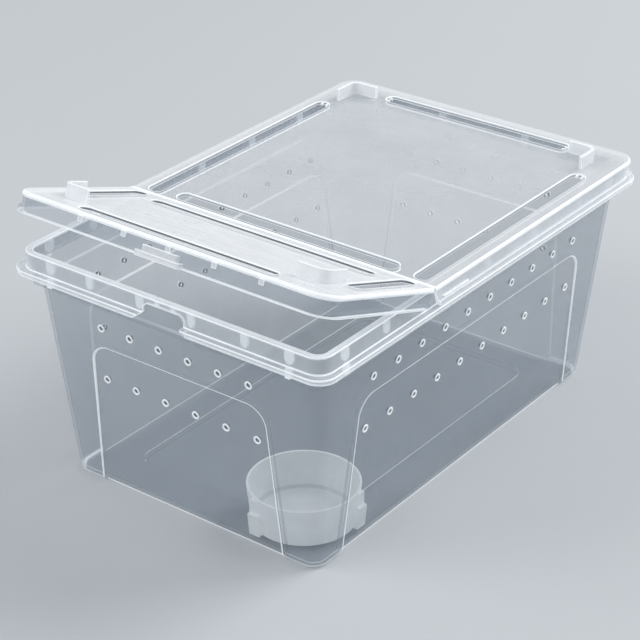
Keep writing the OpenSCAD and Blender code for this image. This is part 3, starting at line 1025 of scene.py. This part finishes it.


# moulded polypropylene, unpainted, in grades named for where they are: clearPolypropylene and so on.
# A thin wall met square on is nearly clear, and one seen edge-on or a thick edge turns milky.
# Light is piped along a wall and comes out at its edges and lips; that light, and the light soaking through the
# milky grades, is painted on as a small glow of their own, an emission that is painted light. Some grades also paint
# highlight or shade, as said at each.
# facing and grazing: how solid it looks square on and edge-on; turn: where that change starts;
# cloud: size of its flow marks in mm; haze: how much they thicken it; ripple: strength of the orange peel;
# drawn: how much longer the flow marks are along X. What a grade leaves out is as usual.
usualPlastic = {"turn": 0.5, "rough": 0.3, "haze": 0.05, "cloud": 9, "ripple": 0.02, "drawn": 1, "paintedGlow": 0}
plasticSet = {
    # tub walls: a cool, clear grey
    "clear": {"colour": "#A3AFBA", "facing": 0.2, "turn": 0.55, "grazing": 0.42,
              "rough": 0.28, "haze": 0.12, "cloud": 38, "ripple": 0.05},
    # rim: two layers close together, so it looks frosted
    "rim": {"colour": "#E4E8EC", "facing": 0.33, "grazing": 0.8,
            "rough": 0.32, "haze": 0.1, "cloud": 22, "ripple": 0.04},
    # lid: a clear middle and a frosted border
    "lid": {"colour": "#DDE0E2", "facing": 0.25, "turn": 0.55, "grazing": 0.85,
            "cloud": 30, "ripple": 0.04, "border": 0.36},
    # the lid's skirt: as frosted as the border, with the light through it from outside painted on as a glow
    "skirt": {"colour": "#E4E7EA", "facing": 0.38, "turn": 0.55, "grazing": 0.85,
              "haze": 0.08, "cloud": 30, "ripple": 0.04, "paintedGlow": 0.13},
    # flap: whiter than the lid, painted light for the flap tilted up towards the light, with its flow marks drawn
    # out along the hinge
    "flap": {"colour": "#F1F3F5", "facing": 0.42, "turn": 0.55, "grazing": 0.85,
             "haze": 0.07, "cloud": 5, "ripple": 0.04, "drawn": 5},
    # lugs, tabs and small teeth: thick and bright, with a faint painted glow
    "lug": {"colour": "#F4F6F8", "facing": 0.55, "grazing": 0.9,
            "rough": 0.22, "ripple": 0.03, "paintedGlow": 0.05},
    # the lid's slot walls: grey, painted shade for the dim keeper they look into
    "slot": {"colour": "#A4ACB3", "facing": 0.55, "grazing": 0.8},
    # the flap's slot walls and the vent bores: darker, as they lie in their own shade
    "shaded": {"colour": "#59616A", "facing": 0.85, "grazing": 0.9},
    # edges, lips and pillars: near white, partly the milkiness of thick plastic and partly painted highlight, with
    # the strongest painted glow
    "edge": {"colour": "#F4F7F9", "facing": 0.82, "turn": 0.3, "grazing": 0.97,
             "rough": 0.25, "haze": 0.04, "cloud": 12, "paintedGlow": 0.25},
    # softer edges: the tub's roundings, the rim's top and the flap's foot, painted highlight with a weaker painted
    # glow
    "softEdgeHighlight": {"colour": "#E9EDF0", "facing": 0.6, "turn": 0.3, "grazing": 0.8,
                 "rough": 0.25, "haze": 0.04, "cloud": 12, "paintedGlow": 0.12},
    # dish: a milky grade; the light that soaks through it is painted on as a glow
    "milky": {"colour": "#EBEDEE", "facing": 0.94, "turn": 0.3, "grazing": 0.98,
              "rough": 0.38, "haze": 0.04, "cloud": 18, "ripple": 0.03, "paintedGlow": 0.23},
    # its inside: painted shade, a darker copy with less painted glow, where less light soaks through
    "innerMilkyShade": {"colour": "#E0E3E5", "facing": 0.94, "turn": 0.3, "grazing": 0.98,
                   "rough": 0.45, "cloud": 14, "ripple": 0.03, "paintedGlow": 0.13},
    # the round at the foot of the inside, where it is thickest: painted shade, darker still
    "cornerMilkyShade": {"colour": "#CDD1D4", "facing": 0.94, "turn": 0.3, "grazing": 0.98,
                    "rough": 0.45, "haze": 0.02, "cloud": 14, "paintedGlow": 0.11},
}
grainSet = {
    "tint": 0.03,  # how far the flow marks shift the colour either way
    "scuff": 14,  # size in mm of the handling marks that change the gloss
    "scuffRough": 0.04,
    "peel": 3,  # orange peel from the mould, in mm; real peel is finer and would not show
    "peelDeep": 0.2,
    "borderSide": (88, 98),  # the lid's frosted border starts and is full, in mm from its middle
    "borderBack": (137, 147),
    "cloudSpan": (0.3, 0.7),  # the part of a noise's range that most of it lies in
    "scuffSpan": (0.35, 0.65),
    "edgeOn": 0.97,  # where a face counts as seen edge-on
    "ior": 1.49,
}


def tinted(hexCode, factor):
    colour = linear(hexCode)
    return [min(1, c * factor) for c in colour[:3]] + [1]


def mouldedPlastic(name):
    s, g = {**usualPlastic, **plasticSet[name]}, grainSet
    mat = bpy.data.materials.new(name + "Polypropylene")
    mat.use_nodes = True
    tree = mat.node_tree
    tree.nodes.clear()
    spot = addNode(tree, "ShaderNodeTexCoord").outputs["Object"]
    # soft flow marks
    low, high = g["cloudSpan"]
    drawn = addNode(tree, "ShaderNodeMapping", {"Scale": (1 / s["drawn"], 1, 1)}, {"Vector": spot})
    cloud = addNode(tree, "ShaderNodeTexNoise", {"Scale": 1 / (s["cloud"] * mm), "Detail": 3.0, "Roughness": 0.55},
                    {"Vector": drawn})
    spread = addNode(tree, "ShaderNodeMapRange", {
        "From Min": low, "From Max": high, "To Min": 1 - s["haze"], "To Max": 1 + s["haze"]}, {"Value": cloud})
    tint = addNode(tree, "ShaderNodeValToRGB", {}, {"Fac": cloud})
    for stop, where, side in zip(tint.color_ramp.elements, (low, high), (-1, 1)):
        stop.position = where
        stop.color = tinted(s["colour"], 1 + side * g["tint"])
    # handling marks, duller here and there
    low, high = g["scuffSpan"]
    scuff = addNode(tree, "ShaderNodeTexNoise", {"Scale": 1 / (g["scuff"] * mm), "Detail": 4.0, "Roughness": 0.65},
                    {"Vector": spot})
    gloss = addNode(tree, "ShaderNodeMapRange", {
        "From Min": low, "From Max": high, "To Min": s["rough"] - g["scuffRough"],
        "To Max": s["rough"] + g["scuffRough"]}, {"Value": scuff})
    peel = addNode(tree, "ShaderNodeTexNoise", {"Scale": 1 / (g["peel"] * mm), "Detail": 1.0}, {"Vector": spot})
    bump = addNode(tree, "ShaderNodeBump", {"Strength": s["ripple"], "Distance": g["peelDeep"] * mm},
                   {"Height": peel})
    # clear square on, milky edge-on
    weight = addNode(tree, "ShaderNodeLayerWeight", {"Blend": 0.5}).outputs["Facing"]
    body = addNode(tree, "ShaderNodeMapRange", {
        "From Min": s["turn"], "From Max": g["edgeOn"], "To Min": s["facing"], "To Max": s["grazing"]},
        {"Value": weight})
    if "border" in s:
        # the band outside the slots is frosted underneath
        axes = addNode(tree, "ShaderNodeSeparateXYZ", {}, {"Vector": spot}).outputs
        side = addNode(tree, "ShaderNodeMath", {"operation": "ABSOLUTE"}, {0: axes["X"]})
        bands = {}
        for i, ((start, full), source) in enumerate(((g["borderSide"], side), (g["borderBack"], axes["Y"]))):
            bands[i] = addNode(tree, "ShaderNodeMapRange", {
                "From Min": start * mm, "From Max": full * mm, "To Max": s["border"]}, {"Value": source})
        band = addNode(tree, "ShaderNodeMath", {"operation": "MAXIMUM"}, bands)
        body = addNode(tree, "ShaderNodeMath", {"operation": "ADD", "use_clamp": True}, {0: body, 1: band})
    alpha = addNode(tree, "ShaderNodeMath", {"operation": "MULTIPLY", "use_clamp": True}, {0: body, 1: spread})
    # the emission is painted light: a glow that stands in for light piped along or soaking through the plastic
    shader = addNode(tree, "ShaderNodeBsdfPrincipled", {
        "IOR": g["ior"], "Emission Color": linear(s["colour"]), "Emission Strength": s["paintedGlow"]},
        {"Base Color": tint, "Roughness": gloss, "Alpha": alpha, "Normal": bump})
    addNode(tree, "ShaderNodeOutputMaterial", {}, {"Surface": shader})
    return mat


plastics = {name: mouldedPlastic(name) for name in plasticSet}


def plasticSlot(obj, plastic):
    slot = obj.data.materials.find(plastics[plastic].name)
    if slot < 0:
        obj.data.materials.append(plastics[plastic])
        slot = len(obj.data.materials) - 1
    return slot


def giveFaces(obj, plastic, test):
    # gives the faces that pass the test another plastic
    slot = plasticSlot(obj, plastic)
    edit(obj)
    select("faces", test)
    obj.active_material_index = slot
    bpy.ops.object.material_slot_assign()
    leave()


def giveCorners(obj, plastic, test, radius):
    # rounds the edges that pass the test, in another plastic
    slot = plasticSlot(obj, plastic)
    edit(obj, "EDGE")
    select("edges", test)
    bevel(radius, 4, material=slot)
    leave()


def finishPiece(obj, name, plastic, radius=0, edge="edge", before=(), corners=(), after=(), clamp=True):
    # gives a piece its name, its plastics, a milky radius on its sharp edges that paints a highlight along them, and
    # smooth curves
    obj.name = obj.data.name = name
    obj.data.materials.clear()
    obj.data.materials.append(plastics[plastic])
    obj.data.materials.append(plastics[edge])
    for kind, test in before:
        giveFaces(obj, kind, test)
    for kind, test, wide in corners:
        giveCorners(obj, kind, test, wide)
    if radius:
        softenEdges(obj, radius, clamp)
    for kind, test in after:
        giveFaces(obj, kind, test)
    smooth(obj)
    report(obj)
    return obj


def assemble():
    # the tub's roundings, panel corners, foot edges and floor step are painted highlight, in the whiter grades
    tub = finishPiece(makeTub(), "tubShell", "clear", tubSet["edgeRadius"], "softEdgeHighlight",
                      before=[("softEdgeHighlight", footRounding)],
                      corners=[("edge", panelCorner, tubSet["panelRound"]), ("edge", footEdge, tubSet["footEdge"])],
                      after=[("clear", innerStep), ("edge", raisedSide)])
    cutAway(tub, makeVentCutter())
    giveFaces(tub, "shaded", inVent)
    rings = finishPiece(makeVentRings(), "ventRings", "edge")
    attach(tub, "tub")
    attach(rings, "tub")
    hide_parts("tub")
    print("tub done")

    # the rim's top and its rounded edges are painted highlight, in the whiter grades
    rim = finishPiece(makeRimBody(), "rimBody", "rim", rimSet["edgeRadius"], before=[("softEdgeHighlight", rimLand)])
    pillars = finishPiece(makePillars(), "rimPillars", "edge")
    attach(rim, "tub")
    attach(pillars, "tub")
    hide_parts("rim")
    print("rim done")

    lid, extras = makeLid()
    # the lid's slot walls are painted shade; its crown, skirt end and rounded edges are painted highlight
    lid = finishPiece(lid, "lidPanel", "lid", coverSet["edgeRadius"],
                      before=[("slot", slotWall), ("skirt", skirt), ("edge", crown), ("edge", skirtEnd)],
                      after=[("skirt", lambda f: skirtLip(f) and not atHinge(f))], clamp=False)
    lidParts = finishPiece(join(*extras), "lidLugs", "lug", lugSet["edgeRadius"])
    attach(lid, "lid")
    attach(lidParts, "lid")
    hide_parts("lid")
    print("lid done")

    flap, extras = makeFlap()
    # the flap's slot walls are painted shade; its crown, foot and rounded edges are painted highlight
    flap = finishPiece(flap, "flapPanel", "flap", coverSet["edgeRadius"],
                       before=[("shaded", slotWall), ("clear", skirt), ("edge", crown), ("softEdgeHighlight", skirtFoot)],
                       after=[("clear", skirtLip)], clamp=False)
    flap = openFlap(flap)
    flapParts = openFlap(finishPiece(join(*extras), "flapLugs", "lug", lugSet["edgeRadius"]))
    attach(flap, "flap")
    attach(flapParts, "flap")
    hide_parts("flap")
    print("flap done")

    web = finishPiece(makeWeb(), "hingeWeb", "edge")
    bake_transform(web)
    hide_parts("hinge")
    print("hinge done")

    cup, ears = makeDish()
    # the cup's inside and the round at its foot are painted shade
    cup = finishPiece(cup, "dishCup", "milky", before=[("innerMilkyShade", cupInside), ("cornerMilkyShade", cupCorner)])
    ears = finishPiece(join(*ears), "dishEars", "milky", dishSet["earRadius"])
    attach(cup, "dish")
    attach(ears, "dish")
    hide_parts("dish")
    print("dish done")


assemble()


# studio: a pale floor and two soft boxes
studioSet = {
    "floor": "#C3C6C9",
    "floorWide": 4.2,
    "floorGap": 0.2,  # in mm; the rest of the studio is in metres
    "floorRough": 0.9,
    "sky": "#DDE2E8",
    "skyLevel": 0.58,
    "backdrop": "#B8BCC1",
    "aim": (0, 0, 0.08),
    "boxes": (((1.2, 1.9, 2.1), 1.8, 66), ((-1.3, -1.5, 1.7), 1.4, 24)),  # place, width and power
}


def makeFloor():
    # just below the keeper's underside, so that the two faces don't flicker through each other
    deselectAll()
    bpy.ops.mesh.primitive_circle_add(vertices=96, radius=studioSet["floorWide"] / 2, fill_type="NGON",
                                      location=(0, 0, -studioSet["floorGap"] * mm))
    floor = bpy.context.object
    floor.name = "floor"
    bpy.ops.object.transform_apply()
    paint = bpy.data.materials.new("floorPaint")
    paint.use_nodes = True
    matt = paint.node_tree.nodes["Principled BSDF"].inputs
    matt["Base Color"].default_value = linear(studioSet["floor"])
    matt["Roughness"].default_value = studioSet["floorRough"]
    floor.data.materials.append(paint)


def makeWorld():
    world = scene.world or bpy.data.worlds.new("world")
    scene.world = world
    world.use_nodes = True
    tree = world.node_tree
    tree.nodes.clear()
    light = addNode(tree, "ShaderNodeBackground",
                    {"Color": linear(studioSet["sky"]), "Strength": studioSet["skyLevel"]})
    # what is seen past the floor's edge, and in reflections, has the floor's own tone
    seen = addNode(tree, "ShaderNodeBackground", {"Color": linear(studioSet["backdrop"])})
    path = addNode(tree, "ShaderNodeLightPath").outputs
    shiny = addNode(tree, "ShaderNodeMath", {"operation": "MAXIMUM"},
                    {0: path["Is Glossy Ray"], 1: path["Is Transmission Ray"]})
    either = addNode(tree, "ShaderNodeMath", {"operation": "MAXIMUM"}, {0: path["Is Camera Ray"], 1: shiny})
    mix = addNode(tree, "ShaderNodeMixShader", {}, {0: either, 1: light, 2: seen})
    addNode(tree, "ShaderNodeOutputWorld", {}, {"Surface": mix})


def makeSoftBoxes():
    for spot, size, power in studioSet["boxes"]:
        light = bpy.data.lights.new("softbox", "AREA")
        light.size = size
        light.energy = power
        lamp = bpy.data.objects.new("softbox", light)
        scene.collection.objects.link(lamp)
        lamp.location = spot
        lamp.rotation_mode = "QUATERNION"
        lamp.rotation_quaternion = (Vector(studioSet["aim"]) - Vector(spot)).to_track_quat("-Z", "Y")


makeFloor()
makeWorld()
makeSoftBoxes()
print("studio done")

scene.cycles.transparent_max_bounces = 32  # a look through the keeper crosses many thin walls
scene.view_settings.view_transform = "Standard"
